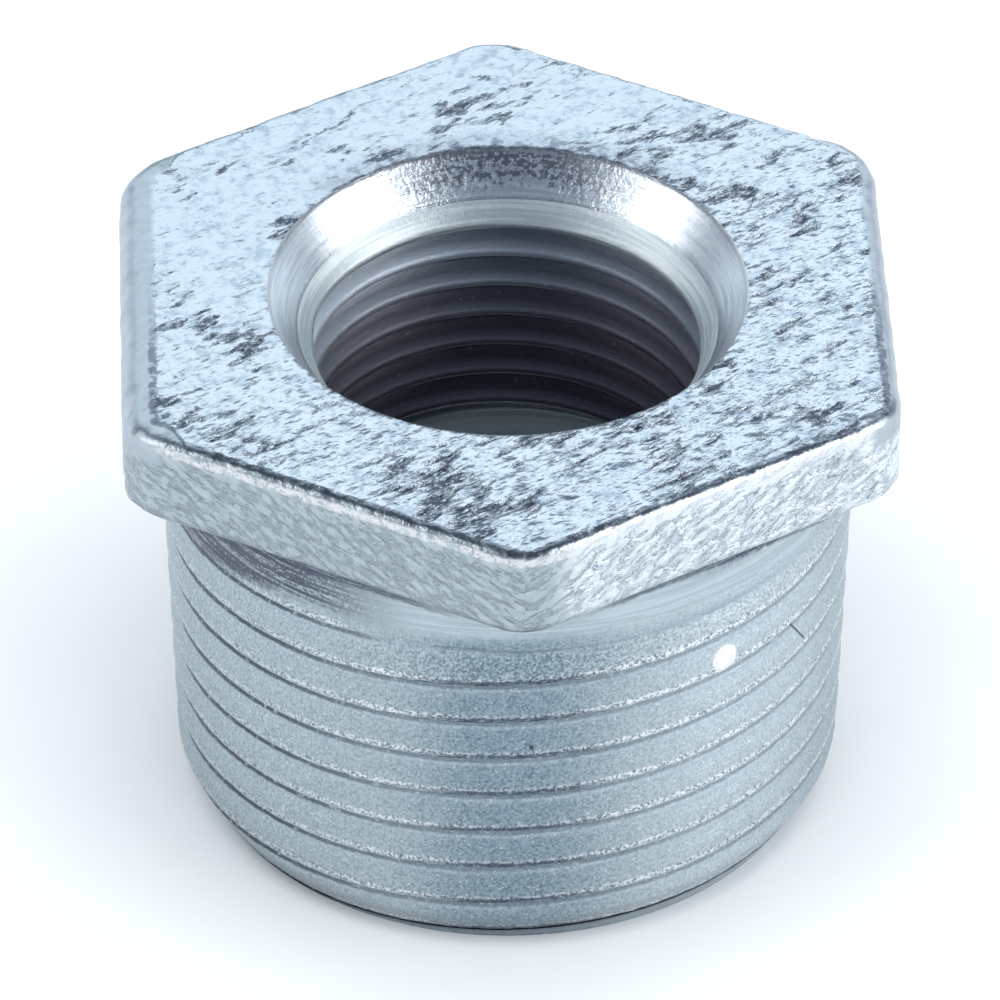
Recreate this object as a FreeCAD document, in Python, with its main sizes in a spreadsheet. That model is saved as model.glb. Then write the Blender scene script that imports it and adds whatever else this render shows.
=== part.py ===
import FreeCAD, Part
import math
import os
import Sketcher

# Reducing hex bushing: a cast hexagon head on a short tapered pipe thread, with a hole tapped down
# through the head into a plain cast cavity. Millimetres and degrees.
# The male thread is a true tapered helix. The female thread is not cut here, so its hole keeps the
# radius of the thread's crests.
# The origin is the middle of the male end face. +Z is the axis, up towards the head.
# Two flats of the hexagon face +X and -X.

NODE_NAME = "hex_bushing"

SIZES = [
    # Overall and head
    ("total_length", 28.0, "male end face to top of the head"),
    ("head_height", 5.1, "thickness of the hexagon head"),
    ("across_flats", 36.7, "hexagon, flat to flat"),
    ("head_corner_radius", 3.0, "upright corners of the hexagon, in plan"),
    ("head_top_round", 1.0, "rounded upper edge of the head"),
    ("head_bottom_bevel", 0.6, "broken lower edge of the head"),
    # Male thread, tapered, one inch nominal
    ("male_end_radius", 16.3, "crest radius at the small end"),
    ("male_taper", 16.0, "one in this many, on the diameter"),
    ("male_pitch", 2.309, "11 threads to the inch"),
    ("male_depth", 1.479, "crest to root"),
    ("male_flank_angle", 27.5, "flank to the plane across the axis"),
    ("male_start_height", 0.657, "middle of the first groove above the end face, on +X"),
    ("male_thread_top", 20.3, "where the last groove has run out"),
    ("male_washout_length", 3.4, "height over which the grooves get shallow"),
    ("lead_chamfer_radius", 15.1, "radius of the end face"),
    ("lead_chamfer_height", 2.2, "bevel that starts the thread"),
    # Tapped hole, half inch nominal, and its mouth
    ("tapped_hole_radius", 9.3155, "crest radius of the female thread"),
    ("tapped_hole_end", 14.2, "top face to the end of the tapped hole"),
    ("bore_mouth_radius", 11.6, "rim of the bevel in the top face"),
    ("bore_bevel_angle", 34.9, "bevel to the axis"),
    # Cast cavity at the male end
    ("cavity_radius", 12.1, "plain recess behind the tapped hole"),
    ("cavity_shoulder_angle", 45.0, "cone that joins cavity and tapped hole, to the axis"),
    # How far the cutting shapes stand clear of the metal
    ("side_overrun", 0.2, "beyond a wall"),
    ("end_overrun", 1.0, "beyond an end face"),
]

CROWN_RADIUS = "Sizes.male_end_radius + {height} / (2 * Sizes.male_taper)"
ROOT_RADIUS = CROWN_RADIUS + " - Sizes.male_depth"
WASHOUT_START = "(Sizes.male_thread_top - Sizes.male_washout_length)"
HEAD_UNDERSIDE = "(Sizes.total_length - Sizes.head_height)"
NECK_RADIUS = CROWN_RADIUS.format(height=HEAD_UNDERSIDE)
TAPPED_HOLE_FOOT = "(Sizes.total_length - Sizes.tapped_hole_end)"
HEXAGON_SIDES = 6
ARCS_IN_CIRCLE = 4


def write_sizes(document):
    """Put every driving size in the sheet, under its own name."""
    sheet = document.addObject("Spreadsheet::Sheet", "Sizes")
    for row, (alias, size, note) in enumerate(SIZES, start=1):
        sheet.set(f"A{row}", alias)
        sheet.set(f"B{row}", repr(size))
        sheet.setAlias(f"B{row}", alias)
        sheet.set(f"C{row}", note)
    document.recompute()
    return sheet


def number(sheet, expression):
    """Work out an expression on the sheet's sizes."""
    return float(sheet.evalExpression(expression))


def attach(sketch, body, role, height=None):
    """Lay a sketch on one of the body's own planes, lifted along the normal where asked."""
    plane = next(item for item in body.Origin.OriginFeatures if item.Role == role)
    sketch.AttachmentSupport = (plane, "")
    sketch.MapMode = "FlatFace"
    if height is not None:
        sketch.setExpression("AttachmentOffset.Base.z", height)


def hold_size(sketch, sheet, name, expression, kind, *place):
    """Add a dimension to a sketch and let the sheet drive it."""
    index = sketch.addConstraint(Sketcher.Constraint(kind, *place, number(sheet, expression)))
    sketch.renameConstraint(index, name)
    sketch.setExpression(f"Constraints.{name}", expression)


def draw_polygon(sketch, sheet, corners):
    """Draw a closed outline. Each corner is a pair of expressions in the sketch's own plane."""
    points = [FreeCAD.Vector(number(sheet, a), number(sheet, b), 0) for a, b in corners]
    for start, end in zip(points, points[1:] + points[:1]):
        sketch.addGeometry(Part.LineSegment(start, end), False)
    count = len(corners)
    for index in range(count):
        sketch.addConstraint(Sketcher.Constraint("Coincident", index, 2, (index + 1) % count, 1))
    for index, (across, up) in enumerate(corners):
        hold_size(sketch, sheet, f"across_{index}", across, "DistanceX", -1, 1, index, 1)
        hold_size(sketch, sheet, f"up_{index}", up, "DistanceY", -1, 1, index, 1)


def polygon_sketch(body, sheet, name, role, corners, height=None):
    """A closed outline on one of the body's own planes."""
    sketch = body.newObject("Sketcher::SketchObject", name)
    attach(sketch, body, role, height)
    draw_polygon(sketch, sheet, corners)
    return sketch


def revolve(body, kind, name, sketch):
    """Turn a sketch in the XZ plane once round the axis, to add or to cut."""
    feature = body.newObject(kind, name)
    feature.Profile = sketch
    feature.ReferenceAxis = (sketch, ["V_Axis"])
    feature.Angle = 360.0
    feature.Refine = False
    return feature


def draw_head(body, sheet):
    """The hexagon, drawn at its top and drawn out downwards."""
    turn = 360 // HEXAGON_SIDES
    corner_reach = f"Sizes.across_flats / 2 / cos({turn} / 2)"
    corners = [
        (f"{corner_reach} * cos({angle})", f"{corner_reach} * sin({angle})")
        for angle in range(turn // 2, 360, turn)
    ]
    sketch = polygon_sketch(body, sheet, "HeadOutline", "XY_Plane", corners, "Sizes.total_length")
    head = body.newObject("PartDesign::Pad", "Head")
    head.Profile = sketch
    head.Reversed = True
    head.setExpression("Length", "Sizes.head_height")
    head.Refine = False
    return head


def dress_edges(body, kind, name, base, wanted, size_property, size):
    """Round or bevel those edges of the base feature that the test picks out."""
    names = [f"Edge{i}" for i, edge in enumerate(base.Shape.Edges, start=1) if wanted(edge)]
    feature = body.newObject(kind, name)
    feature.Base = (base, names)
    feature.setExpression(size_property, size)
    feature.Refine = False
    return feature


def soften_head(document, body, sheet, head):
    """Round the head's upright corners and its upper edge, and break its lower edge."""
    top = number(sheet, "Sizes.total_length")
    bottom = number(sheet, HEAD_UNDERSIDE)
    nearly = 1e-4

    def level_at(height):
        return lambda edge: (
            abs(edge.BoundBox.ZMin - height) < nearly and abs(edge.BoundBox.ZMax - height) < nearly
        )

    def upright(edge):
        return edge.BoundBox.ZMax > top - nearly and edge.BoundBox.ZMin < bottom + nearly

    document.recompute()
    corners = dress_edges(
        body, "PartDesign::Fillet", "HeadCorners", head, upright,
        "Radius", "Sizes.head_corner_radius",
    )
    document.recompute()
    upper = dress_edges(
        body, "PartDesign::Fillet", "HeadTopEdge", corners, level_at(top),
        "Radius", "Sizes.head_top_round",
    )
    document.recompute()
    return dress_edges(
        body, "PartDesign::Chamfer", "HeadBottomEdge", upper, level_at(bottom),
        "Size", "Sizes.head_bottom_bevel",
    )


def add_shank(body, sheet):
    """The turned cone that the male thread is cut on. Its plain top is the neck of the head."""
    corners = [
        ("0", "0"),
        ("Sizes.lead_chamfer_radius", "0"),
        (CROWN_RADIUS.format(height="Sizes.lead_chamfer_height"), "Sizes.lead_chamfer_height"),
        (NECK_RADIUS, HEAD_UNDERSIDE),
        ("0", HEAD_UNDERSIDE),
    ]
    sketch = polygon_sketch(body, sheet, "ShankProfile", "XZ_Plane", corners)
    return revolve(body, "PartDesign::Revolution", "Shank", sketch)


def cut_hole(body, sheet):
    """The tapped hole's own wall, drawn as equal arcs so that no face closes on itself."""
    sketch = body.newObject("Sketcher::SketchObject", "TappedHoleOutline")
    attach(sketch, body, "XY_Plane", "Sizes.total_length + Sizes.end_overrun")
    circle = Part.Circle(
        FreeCAD.Vector(0, 0, 0), FreeCAD.Vector(0, 0, 1), number(sheet, "Sizes.tapped_hole_radius")
    )
    step = 2 * math.pi / ARCS_IN_CIRCLE
    for index in range(ARCS_IN_CIRCLE):
        sketch.addGeometry(Part.ArcOfCircle(circle, index * step, (index + 1) * step), False)
        sketch.addConstraint(Sketcher.Constraint("Coincident", index, 3, -1, 1))
    for index in range(ARCS_IN_CIRCLE):
        following = (index + 1) % ARCS_IN_CIRCLE
        sketch.addConstraint(Sketcher.Constraint("Coincident", index, 2, following, 1))
        axis_line = -2 if index % 2 else -1
        sketch.addConstraint(Sketcher.Constraint("PointOnObject", index, 1, axis_line))
    hold_size(sketch, sheet, "radius", "Sizes.tapped_hole_radius", "Radius", 0)
    hole = body.newObject("PartDesign::Pocket", "TappedHole")
    hole.Profile = sketch
    hole.Type = "ThroughAll"
    hole.Refine = False
    return hole


def cut_bevel(body, sheet):
    """The machined bevel that leads into the tapped hole."""
    above = "Sizes.total_length + Sizes.end_overrun"
    tip = "Sizes.tapped_hole_radius - Sizes.side_overrun"
    tip_height = (
        f"Sizes.total_length - (Sizes.bore_mouth_radius - ({tip})) / tan(Sizes.bore_bevel_angle)"
    )
    wide = "Sizes.bore_mouth_radius + Sizes.end_overrun * tan(Sizes.bore_bevel_angle)"
    corners = [("0", above), ("0", tip_height), (tip, tip_height), (wide, above)]
    sketch = polygon_sketch(body, sheet, "BevelProfile", "XZ_Plane", corners)
    return revolve(body, "PartDesign::Groove", "MouthBevel", sketch)


def cut_cavity(body, sheet):
    """The as-cast recess behind the tapped hole."""
    below = "-Sizes.end_overrun"
    shoulder = "(Sizes.cavity_radius - Sizes.tapped_hole_radius) / tan(Sizes.cavity_shoulder_angle)"
    tip = "Sizes.tapped_hole_radius - Sizes.side_overrun"
    tip_height = f"{TAPPED_HOLE_FOOT} + Sizes.side_overrun / tan(Sizes.cavity_shoulder_angle)"
    corners = [
        ("0", below),
        ("Sizes.cavity_radius", below),
        ("Sizes.cavity_radius", f"{TAPPED_HOLE_FOOT} - {shoulder}"),
        (tip, tip_height),
        ("0", tip_height),
    ]
    sketch = polygon_sketch(body, sheet, "CavityProfile", "XZ_Plane", corners)
    return revolve(body, "PartDesign::Groove", "Cavity", sketch)


def make_blank(document, sheet):
    """The casting with its turned shank and bored hole, before the thread is cut."""
    body = document.addObject("PartDesign::Body", "Blank")
    soften_head(document, body, sheet, draw_head(body, sheet))
    add_shank(body, sheet)
    cut_hole(body, sheet)
    cut_bevel(body, sheet)
    cut_cavity(body, sheet)
    return body


def make_thread_ridge(document, sheet):
    """A tapered right-hand helix of V section, from the root out to clear of the crest."""
    start = "(Sizes.male_start_height - Sizes.male_pitch)"
    root = ROOT_RADIUS.format(height=start)
    rim = CROWN_RADIUS.format(height=start) + " + Sizes.side_overrun"
    half_width = "tan(Sizes.male_flank_angle) * (Sizes.male_depth + Sizes.side_overrun)"
    turns = f"ceil((Sizes.male_thread_top - {start}) / Sizes.male_pitch)"

    section = document.addObject("Sketcher::SketchObject", "ThreadSection")
    section.Placement = FreeCAD.Placement(
        FreeCAD.Vector(0, 0, 0), FreeCAD.Rotation(FreeCAD.Vector(1, 0, 0), 90)
    )
    corners = [(root, start), (rim, f"{start} - {half_width}"), (rim, f"{start} + {half_width}")]
    draw_polygon(section, sheet, corners)

    path = document.addObject("Part::Helix", "ThreadPath")
    path.setExpression("Radius", root)
    path.setExpression("Pitch", "Sizes.male_pitch")
    path.setExpression("Height", f"{turns} * Sizes.male_pitch")
    path.setExpression("Angle", "atan(1 / (2 * Sizes.male_taper))")
    path.setExpression("Placement.Base.z", start)
    path.SegmentLength = 1.0

    ridge = document.addObject("Part::Sweep", "ThreadRidge")
    ridge.Sections = [section]
    ridge.Spine = (path, [])
    ridge.Solid = True
    ridge.Frenet = True
    return ridge


def combine(document, kind, name, base, tool):
    """Join the tool to the base or cut it away, and keep every face as it is."""
    feature = document.addObject(kind, name)
    feature.Base = base
    feature.Tool = tool
    feature.Refine = False
    return feature


def make_thread_groove(document, sheet):
    """The ridge, stopped at its upper end by a cone on which the groove gets shallow."""
    cone = document.addObject("Part::Cone", "RunOutCone")
    cone.setExpression("Radius1", ROOT_RADIUS.format(height=WASHOUT_START))
    cone.setExpression("Radius2", CROWN_RADIUS.format(height="Sizes.male_thread_top"))
    cone.setExpression("Height", "Sizes.male_washout_length")
    cone.setExpression("Placement.Base.z", WASHOUT_START)
    band = document.addObject("Part::Cylinder", "RunOutBand")
    band.setExpression("Radius", f"{NECK_RADIUS} + Sizes.male_depth")
    band.setExpression("Height", "2 * Sizes.male_pitch")
    band.setExpression("Placement.Base.z", "Sizes.male_thread_top")
    run_out = combine(document, "Part::Fuse", "RunOut", cone, band)
    ridge = make_thread_ridge(document, sheet)
    return combine(document, "Part::Cut", "ThreadGroove", ridge, run_out)


def check_document(document):
    """Stop when any feature failed, because a failed one can pass unnoticed."""
    for item in document.Objects:
        faults = [state for state in item.State if state in ("Invalid", "Error")]
        if faults:
            raise RuntimeError(f"{item.Name} is {', '.join(faults)}")


def main():
    document = FreeCAD.newDocument("HexBushing")
    sheet = write_sizes(document)
    blank = make_blank(document, sheet)
    groove = make_thread_groove(document, sheet)
    bushing = combine(document, "Part::Cut", "HexBushing", blank, groove)
    bushing.Label = NODE_NAME
    document.recompute()
    check_document(document)
    shape = bushing.Shape
    if shape.isNull() or not shape.isValid() or len(shape.Solids) != 1:
        raise RuntimeError(f"{bushing.Label} is not one valid solid")
    os.makedirs("parts", exist_ok=True)
    shape.exportStep(f"parts/{bushing.Label}.step")
    box = shape.optimalBoundingBox(False, False)
    print(
        f"{bushing.Label}: volume {shape.Volume:.1f} mm3, "
        f"{box.XLength:.2f} by {box.YLength:.2f} by {box.ZLength:.2f} mm, foot at {box.ZMin:.3f}"
    )


main()
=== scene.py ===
# %% [markdown]
# # A galvanised hex bushing
# The object is one casting: a hexagon head on a short tapered pipe thread, with a smaller pipe
# thread tapped through it. It was cast in malleable iron, turned, threaded and dipped in zinc.
# The imported CAD model is loaded first. It fixes the frame, the sizes and the place of the part.

# %% Load the frame
import bpy
import math
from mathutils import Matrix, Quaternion, Vector


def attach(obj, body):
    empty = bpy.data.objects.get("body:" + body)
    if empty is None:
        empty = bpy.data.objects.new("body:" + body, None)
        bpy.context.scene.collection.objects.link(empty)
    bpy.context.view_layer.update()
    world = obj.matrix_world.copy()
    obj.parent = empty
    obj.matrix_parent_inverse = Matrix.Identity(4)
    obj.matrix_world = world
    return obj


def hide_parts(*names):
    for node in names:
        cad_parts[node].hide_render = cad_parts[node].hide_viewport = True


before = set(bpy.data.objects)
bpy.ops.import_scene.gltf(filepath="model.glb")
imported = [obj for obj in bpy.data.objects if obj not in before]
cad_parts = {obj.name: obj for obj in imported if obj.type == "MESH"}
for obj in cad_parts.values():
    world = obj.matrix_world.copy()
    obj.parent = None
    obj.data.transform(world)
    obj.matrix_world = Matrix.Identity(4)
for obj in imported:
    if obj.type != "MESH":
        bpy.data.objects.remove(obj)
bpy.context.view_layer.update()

# %% [markdown]
# ## Expressions instead of loose nodes
# Both the shape and the finish are long formulas of angle, radius and height. Written node by
# node they would be hard to read, so a small class wraps a socket and lets Python's operators add
# the Math nodes. The other class adds any node with its settings, values and links, so each
# formula below reads as it would on paper.


# %% Wrap sockets for arithmetic
class Value:
    """An output socket that can be used in arithmetic."""

    def __init__(self, nodes, socket):
        self.nodes = nodes
        self.socket = socket

    def math(self, operation, *others):
        sockets = dict(enumerate((self, *others)))
        return self.nodes.add("ShaderNodeMath", {"operation": operation}, sockets)

    def __add__(self, other):
        return self.math("ADD", other)

    def __radd__(self, other):
        return self.math("ADD", other)

    def __sub__(self, other):
        return self.math("SUBTRACT", other)

    def __rsub__(self, other):
        return self.nodes.number(other).math("SUBTRACT", self)

    def __mul__(self, other):
        return self.math("MULTIPLY", other)

    def __rmul__(self, other):
        return self.math("MULTIPLY", other)

    def __truediv__(self, other):
        return self.math("DIVIDE", other)

    def __pow__(self, other):
        return self.math("POWER", other)

    def at_least(self, other):
        return self.math("MAXIMUM", other)

    def at_most(self, other):
        return self.math("MINIMUM", other)

    def between(self, low, high):
        """0 below low, 1 above high, and a smooth step between them."""
        return self.nodes.add(
            "ShaderNodeMapRange",
            {"interpolation_type": "SMOOTHSTEP"},
            {"Value": self, "From Min": low, "From Max": high},
        )

    def inside(self, low, high, edge):
        """1 from low to high, and 0 outside, with soft ends as wide as edge."""
        return self.between(low - edge, low + edge) * (1 - self.between(high - edge, high + edge))


class Nodes:
    """Adds nodes to one tree."""

    def __init__(self, tree):
        self.tree = tree

    def add(self, kind, settings=None, sockets=None, output=0):
        node = self.tree.nodes.new(kind)
        for name, setting in (settings or {}).items():
            setattr(node, name, setting)
        for name, value in (sockets or {}).items():
            if isinstance(value, Value):
                self.tree.links.new(value.socket, node.inputs[name])
            else:
                node.inputs[name].default_value = value
        return Value(self, node.outputs[output])

    def number(self, value):
        return self.add("ShaderNodeMath", {"operation": "ADD"}, {0: value, 1: 0.0})

    def combine(self, x, y, z):
        return self.add("ShaderNodeCombineXYZ", None, {0: x, 1: y, 2: z})

    def split(self, vector):
        node = self.tree.nodes.new("ShaderNodeSeparateXYZ")
        self.tree.links.new(vector.socket, node.inputs[0])
        return [Value(self, output) for output in node.outputs]

    def vector(self, operation, *parts):
        sockets = dict(enumerate(parts))
        return self.add("ShaderNodeVectorMath", {"operation": operation}, sockets)

    def scale(self, vector, amount):
        sockets = {0: vector, "Scale": amount}
        return self.add("ShaderNodeVectorMath", {"operation": "SCALE"}, sockets)

    def length(self, vector):
        return self.add("ShaderNodeVectorMath", {"operation": "LENGTH"}, {0: vector}, 1)

    def noise(self, vector, scale, detail, roughness, distortion=0.0):
        sockets = {"Vector": vector, "Scale": scale, "Detail": detail}
        sockets |= {"Roughness": roughness, "Distortion": distortion}
        return self.add("ShaderNodeTexNoise", None, sockets)

    def mix_colour(self, factor, first, second):
        node = self.tree.nodes.new("ShaderNodeMix")
        node.data_type = "RGBA"
        places = (node.inputs[0], node.inputs[6], node.inputs[7])
        for socket, value in zip(places, (factor, first, second)):
            if isinstance(value, Value):
                self.tree.links.new(value.socket, socket)
            elif isinstance(value, float):
                socket.default_value = value
            else:
                socket.default_value = (*value, 1)
        return Value(self, node.outputs[2])


print("helpers ready")

# %% [markdown]
# ## Sizes of the bushing
# The sizes are those of the CAD source, in millimetres, and the tree turns them into metres at
# its end. Each is a named input of the Geometry Nodes tree, and the modifier that runs the tree
# once is set from them. The places of both threads round the axis come from the photo.

# %% Name the sizes
SIZES = {
    "Length": 28.0,
    "Head Height": 5.1,
    "Across Flats": 36.7,
    "Corner Radius": 3.0,
    "Top Round": 0.45,
    "Left Round": 1.5,
    "Right Round": 1.0,
    "Left Swell": 0.3,
    "Bottom Bevel": 0.6,
    "Male Radius": 16.3,
    "Male Taper": 16.0,
    "Male Pitch": 2.309,
    "Male Depth": 1.479,
    "Male Groove Width": 0.24,
    "Male Groove Height": 1.09,
    "Male Row Gather": 0.394,
    "Male Flank Depth": 0.28,
    "Male Flank Length": 1.8,
    "Male Tilt": 0.39,
    "Male Tilt Angle": 50.0,
    "Lead Radius": 15.1,
    "Lead Height": 2.2,
    "Fade Start": 16.9,
    "Fade End": 20.2,
    "Fade Lean": 0.9,
    "Hole Radius": 9.3155,
    "Hole Pitch": 1.814,
    "Hole Depth": 1.162,
    "Hole Groove Height": 23.64,
    "Hole End": 13.8,
    "Mouth Radius": 11.6,
    "Mouth Slope": 0.6976,
    "Mouth Depth": 2.07,
    "Recess Radius": 12.1,
    "Corner Gather": 0.4,
    "Skin": 0.09,
    "Pit Depth": 0.05,
    "Crest Wear": 0.10,
    "Seed": 3.0,
}
COUNTS = {"Columns": 384, "Rows a Male Turn": 12, "Rows a Hole Turn": 8}
print(len(SIZES), "sizes and", len(COUNTS), "counts")

# %% [markdown]
# ## The tree's inputs
# The whole surface follows a rule: its radius is a formula of the angle and the height. So one
# tree makes it. A modifier's input is set by its socket's identifier, so the identifiers are kept
# here by name.

# %% Start the tree
shape_tree = bpy.data.node_groups.new("bushing_shape", "GeometryNodeTree")
shape_tree.interface.new_socket("Geometry", in_out="OUTPUT", socket_type="NodeSocketGeometry")
identifiers = {}
for name, size in SIZES.items():
    socket = shape_tree.interface.new_socket(name, in_out="INPUT", socket_type="NodeSocketFloat")
    socket.default_value = size
    identifiers[name] = socket.identifier
for name, count in COUNTS.items():
    socket = shape_tree.interface.new_socket(name, in_out="INPUT", socket_type="NodeSocketInt")
    socket.default_value = count
    identifiers[name] = socket.identifier
for name in ("Head Finish", "Mouth Finish", "Screw Finish", "Bore Finish"):
    socket = shape_tree.interface.new_socket(name, in_out="INPUT", socket_type="NodeSocketMaterial")
    identifiers[name] = socket.identifier

shape = Nodes(shape_tree)
group_input = shape_tree.nodes.new("NodeGroupInput")
size = {o.name: Value(shape, o) for o in group_input.outputs if o.name}
print("tree inputs:", ", ".join(size))

# %% [markdown]
# ## Grids bent into rings
# Every band of the surface starts as a flat grid. Its rows run along the outline of the cut
# section and its columns run round the axis. The grid's own X gives the row and its Y the share
# of a turn. A lathe would also do for the plain bands, but not for the hexagon or the threads,
# and with equal columns all bands meet point to point.


# %% Bend a grid
def flat_grid(rows):
    """A grid with its row number, its share of the rows and its share of a turn."""
    grid = shape.add(
        "GeometryNodeMeshGrid",
        None,
        {"Size X": rows - 1.0, "Size Y": 1.0, "Vertices X": rows, "Vertices Y": size["Columns"] + 1},
    )
    x, y, z = shape.split(shape.add("GeometryNodeInputPosition"))
    row = (x + (rows - 1) / 2).math("ROUND")
    return grid, row, y + 0.5


def bend(grid, angle, radius, height):
    """Moves a grid's points to their angle, radius and height."""
    place = shape.combine(angle.math("COSINE") * radius, angle.math("SINE") * radius, height)
    return shape.add("GeometryNodeSetPosition", None, {"Geometry": grid, "Position": place})


print("grids ready")

# %% [markdown]
# ## The hexagon as a radius
# A hexagon with rounded corners is a radius that depends on the angle. Near a corner it is an arc
# and elsewhere a straight flat. The two are joined where they touch. The columns are pulled
# towards the corners, where the outline bends most. The left flat swells a little, and the upper
# edges of the left and right flats are worn rounder, so these have sizes of their own.


# %% Give the hexagon's radius
def left_flat(angle):
    """1 on the flat that faces left in the photo, and 0 on the others."""
    return (angle.math("COSINE") * -1).between(0.80, 0.93)


def right_flat(angle):
    """1 on the flat that faces right in the photo."""
    return angle.math("COSINE").between(0.80, 0.93)


def edge_round(angle):
    """Radius of the worn upper edge, which is larger on two flats."""
    left = left_flat(angle) * (size["Left Round"] - size["Top Round"])
    right = right_flat(angle) * (size["Right Round"] - size["Top Round"])
    return size["Top Round"] + left + right


def hexagon_radius(angle, inset):
    """Radius of the hexagon drawn in by inset, at an angle."""
    sector = math.radians(60)
    from_corner = (angle + sector / 2).math("PINGPONG", sector / 2)
    flat_radius = size["Across Flats"] / 2 - inset + left_flat(angle) * size["Left Swell"]
    corner = size["Corner Radius"] - inset
    centre = (flat_radius - corner) / math.cos(sector / 2)
    touch = (corner * 0.5).math("ARCTAN2", centre + corner * math.cos(sector / 2))
    side = centre * from_corner.math("SINE")
    arc = centre * from_corner.math("COSINE") + (corner * corner - side * side).at_least(0.0).math("SQRT")
    flat = flat_radius / (sector / 2 - from_corner).math("COSINE")
    on_arc = from_corner.math("LESS_THAN", touch)
    return on_arc * arc + (1 - on_arc) * flat


def gather_columns(turn, gather):
    """The angle of a column, pulled towards the nearest corner by gather."""
    angle = turn * math.tau
    return angle + (angle * 6.0).math("SINE") * gather / 6.0


print("hexagon ready")

# %% [markdown]
# ## Threads as slanted grids
# On a thread the rows climb one pitch in each turn, so they run along the crests and the roots,
# and a lip stays sharp with few rows. Above and below, the rows are pressed flat onto the
# band's last ring, and merging by distance later removes what is squeezed together. Zinc has
# filled the male thread: a narrow groove is left under each turn's lip, and below it a flank that
# leans in. The rows are gathered at the groove, and the whole thread is tilted a little, because
# the die sat askew.


# %% Male thread
def groove_share(distance, half_width):
    """1 in a groove's middle and 0 at its edge, with straight flanks and a rounded root."""
    share = (1 - distance / half_width).at_least(0.0) ** 0.85
    return share.at_most(0.88) / 0.88


def male_tilt(angle):
    """How far the thread's plane rises at an angle, because the die sat a little askew."""
    return (angle + size["Male Tilt Angle"] * math.radians(1)).math("COSINE") * size["Male Tilt"]


def male_radius(angle, height):
    crown = size["Male Radius"] + height / (size["Male Taper"] * 2)
    lift = height - size["Male Groove Height"] - size["Male Pitch"] * angle / math.tau
    lift = lift - male_tilt(angle)
    distance = lift.math("PINGPONG", size["Male Pitch"] / 2)
    below = (lift / size["Male Pitch"] * -1.0).math("FRACT") * size["Male Pitch"]
    flank = (1 - below / size["Male Flank Length"]).at_least(0.0) ** 1.3 * size["Male Flank Depth"]
    depth = (groove_share(distance, size["Male Groove Width"] / 2) * size["Male Depth"]).at_least(flank)
    lean = (angle + math.radians(30)).math("COSINE").between(-0.2, 0.45) * size["Fade Lean"]
    fade = (height + lean - size["Fade Start"]) / (size["Fade End"] - size["Fade Start"])
    depth = depth.at_most((1 - fade.at_least(0.0).at_most(1.0)) * size["Male Depth"])
    lead = size["Lead Radius"] + height * (crown - size["Lead Radius"]) / size["Lead Height"]
    return (crown - depth).at_most(lead)


underside = size["Length"] - size["Head Height"]
male_turns = 11
rows_below = 20
male_rows = male_turns * COUNTS["Rows a Male Turn"] + 3
grid, row, turn = flat_grid(male_rows)
angle = turn * math.tau
row_turn = (row - rows_below) / size["Rows a Male Turn"]
climb = row_turn - (row_turn * math.tau).math("SINE") * size["Male Row Gather"] / math.tau + turn
height = size["Male Groove Height"] + climb * size["Male Pitch"] + male_tilt(angle)
height = height.at_least(0.0).at_most(underside)
bands = [bend(grid, angle, male_radius(angle, height), height)]
print("male thread:", male_rows, "rows")

# %% [markdown]
# ## The head
# The head is a cast hexagon with soft edges. Its bands run from the thread out along the
# underside, up the bevel and the side, over the rounded top edge and in across the top face to
# the mouth of the bore.

# %% Head
BAND_ROWS = {"underside": 3, "bevel": 3, "side": 13, "round": 7, "top": 26, "mouth": 11, "recess": 4}
gather = size["Corner Gather"]
top = size["Length"]

grid, row, turn = flat_grid(BAND_ROWS["underside"])
share = row / (BAND_ROWS["underside"] - 1)
angle = gather_columns(turn, gather * share)
neck = male_radius(angle, underside)
outer = hexagon_radius(angle, size["Bottom Bevel"])
bands.append(bend(grid, angle, neck + (outer - neck) * share, underside))

grid, row, turn = flat_grid(BAND_ROWS["bevel"])
share = row / (BAND_ROWS["bevel"] - 1)
angle = gather_columns(turn, gather)
radius = hexagon_radius(angle, size["Bottom Bevel"] * (1 - share))
bands.append(bend(grid, angle, radius, underside + size["Bottom Bevel"] * share))

grid, row, turn = flat_grid(BAND_ROWS["side"])
share = row / (BAND_ROWS["side"] - 1)
angle = gather_columns(turn, gather)
side_height = size["Head Height"] - size["Bottom Bevel"] - edge_round(angle)
radius = hexagon_radius(angle, shape.number(0.0))
bands.append(bend(grid, angle, radius, underside + size["Bottom Bevel"] + side_height * share))

grid, row, turn = flat_grid(BAND_ROWS["round"])
swing = row / (BAND_ROWS["round"] - 1) * (math.pi / 2)
angle = gather_columns(turn, gather)
radius = hexagon_radius(angle, edge_round(angle) * (1 - swing.math("COSINE")))
bands.append(bend(grid, angle, radius, top - edge_round(angle) * (1 - swing.math("SINE"))))

grid, row, turn = flat_grid(BAND_ROWS["top"])
share = row / (BAND_ROWS["top"] - 1)
angle = gather_columns(turn, gather * (1 - share))
outer = hexagon_radius(angle, edge_round(angle))
bands.append(bend(grid, angle, outer + (size["Mouth Radius"] - outer) * share, top))
print("head bands:", len(bands) - 1)

# %% [markdown]
# ## The bore
# The mouth was turned to a cone, the thread was tapped through it, and behind the thread the
# casting is plain and wider. The thread's surface is the widest of the hole, the cone, the groove
# and the shoulder, so the groove breaks out of the cone by itself.

# %% Mouth and tapped hole
grid, row, turn = flat_grid(BAND_ROWS["mouth"])
share = row / (BAND_ROWS["mouth"] - 1)
depth = size["Mouth Depth"] * share
radius = size["Mouth Radius"] - depth * size["Mouth Slope"]
bands.append(bend(grid, turn * math.tau, radius, top - depth))

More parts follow.
